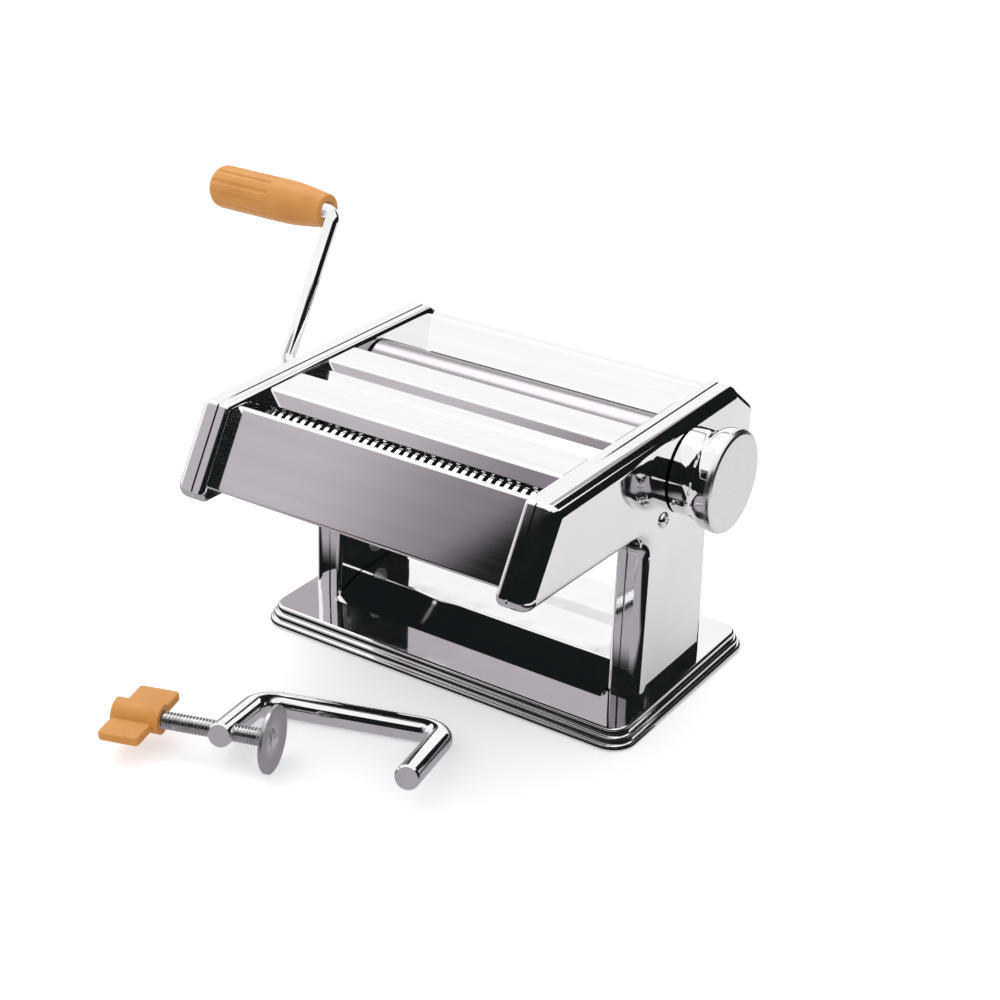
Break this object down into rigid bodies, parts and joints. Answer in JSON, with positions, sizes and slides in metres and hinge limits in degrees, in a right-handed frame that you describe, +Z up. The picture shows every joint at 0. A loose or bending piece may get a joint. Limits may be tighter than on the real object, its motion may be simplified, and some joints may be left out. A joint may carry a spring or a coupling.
{
  "type": "pasta roller machine",
  "caption": "Hand-cranked pasta machine with smooth rollers, narrow and wide cutters, thickness dial, crank with grip and a separate table clamp.",
  "frame": {"origin": "centre of the base's footprint, on the table", "axes": "+X to the dial side, -Y to the front panel with the narrow cutters, +Z up"},
  "size_m": [0.2994, 0.2589, 0.1965],
  "materials": {
    "polished_steel": "mirror polished",
    "roller_steel": "fine ground and plated",
    "plain_steel": "plain",
    "nylon": "moulded",
    "rubber": "matte",
    "amber_plastic": "satin moulded"
  },
  "bodies": {
    "frame": {"base_feet": "rubber", "base_nuts": "plain_steel", "base_plate": "polished_steel", "base_screws": "plain_steel", "clamp_sleeve": "plain_steel", "comb_narrow_front": "plain_steel", "comb_narrow_rear": "plain_steel", "comb_wide_front": "plain_steel", "comb_wide_rear": "plain_steel", "cover_left": "polished_steel", "cover_right": "polished_steel", "cover_screws": "polished_steel", "dial_bush": "nylon", "feed_plate": "polished_steel", "front_hood": "polished_steel", "front_panel": "polished_steel", "plate_left": "polished_steel", "plate_right": "polished_steel", "rear_hood": "polished_steel", "rear_panel": "polished_steel", "scraper_front": "nylon", "scraper_rear": "nylon", "shaft_bushes": "nylon", "socket_bushes": "nylon", "stop_pin": "plain_steel", "tie_rods": "plain_steel", "tie_screws": "plain_steel"},
    "narrow_rear": {"narrow_cutter_rear": "roller_steel", "gear_narrow_rear": "plain_steel"},
    "narrow_front": {"narrow_cutter_front": "roller_steel", "gear_narrow_front": "plain_steel"},
    "wide_rear": {"wide_cutter_rear": "roller_steel", "gear_wide_rear": "plain_steel"},
    "wide_front": {"wide_cutter_front": "roller_steel", "gear_wide_front": "plain_steel"},
    "front_roller": {"roller_front": "roller_steel", "gear_smooth_front": "plain_steel"},
    "rear_roller": {"roller_rear": "roller_steel", "gear_smooth_rear": "plain_steel"},
    "carriage": {"block_left": "plain_steel", "block_right": "plain_steel"},
    "dial_drive": {"dial_shaft": "plain_steel", "dial_spring": "plain_steel"},
    "dial": {"dial_knob": "polished_steel", "dial_cap": "polished_steel"},
    "crank": {"crank_arm": "polished_steel"},
    "handle": {"grip": "amber_plastic"},
    "clamp": {"clamp_rod": "polished_steel"},
    "pad": {"clamp_pad": "polished_steel"},
    "thumbscrew": {"clamp_screw": "plain_steel", "clamp_wing": "amber_plastic"}
  },
  "joints": [
    {"name": "narrow_spin", "type": "hinge", "parent": "frame", "child": "narrow_rear", "pos_m": [0, -0.0808, 0.119], "axis": [1, 0, 0], "continuous": true},
    {"name": "narrow_front_spin", "type": "hinge", "parent": "frame", "child": "narrow_front", "pos_m": [0, -0.098, 0.119], "axis": [1, 0, 0], "continuous": true},
    {"name": "wide_spin", "type": "hinge", "parent": "frame", "child": "wide_rear", "pos_m": [0, -0.045, 0.111], "axis": [1, 0, 0], "continuous": true},
    {"name": "wide_front_spin", "type": "hinge", "parent": "frame", "child": "wide_front", "pos_m": [0, -0.0622, 0.111], "axis": [1, 0, 0], "continuous": true},
    {"name": "roller_spin", "type": "hinge", "parent": "frame", "child": "front_roller", "pos_m": [0, -0.0238, 0.1215], "axis": [1, 0, 0], "continuous": true},
    {"name": "nip_slide", "type": "slide", "parent": "frame", "child": "carriage", "axis": [0, 1, 0], "range_m": [0, 0.0022]},
    {"name": "rear_roller_spin", "type": "hinge", "parent": "carriage", "child": "rear_roller", "pos_m": [0, 0.0015, 0.1215], "axis": [1, 0, 0], "continuous": true},
    {"name": "dial_turn", "type": "hinge", "parent": "frame", "child": "dial_drive", "pos_m": [0.0926, 0.002, 0.113], "axis": [1, 0, 0], "range_deg": [0, 270]},
    {"name": "dial_pull", "type": "slide", "parent": "dial_drive", "child": "dial", "axis": [1, 0, 0], "range_m": [0, 0.003], "stiffness_N_per_m": 900, "springref_m": -0.002, "deforming": ["dial_spring"]},
    {"name": "crank_pull", "type": "slide", "parent": "front_roller", "child": "crank", "axis": [-1, 0, 0], "range_m": [0, 0.018]},
    {"name": "grip_spin", "type": "hinge", "parent": "crank", "child": "handle", "pos_m": [-0.112, 0.0146, 0.18592], "axis": [-1, 0, 0], "continuous": true},
    {"name": "clamp_lift", "type": "slide", "parent": "frame", "child": "clamp", "axis": [0, 0, 1], "range_m": [0, 0.04]},
    {"name": "pad_slide", "type": "slide", "parent": "clamp", "child": "pad", "axis": [0.9511, 0.309, 0], "range_m": [-0.009, 0.021]},
    {"name": "screw_turn", "type": "hinge", "parent": "pad", "child": "thumbscrew", "pos_m": [-0.03682, -0.16179, 0.015], "axis": [0.9511, 0.309, 0], "range_deg": [-2160, 5040]}
  ],
  "couplings": [
    {"joint": "narrow_front_spin", "follows": "narrow_spin", "ratio": -1},
    {"joint": "wide_front_spin", "follows": "wide_spin", "ratio": -1},
    {"joint": "rear_roller_spin", "follows": "roller_spin", "ratio": -1},
    {"joint": "dial_turn", "follows": "nip_slide", "rad_per_m": 2141.8},
    {"joint": "screw_turn", "follows": "pad_slide", "rad_per_m": 4188.4}
  ]
}
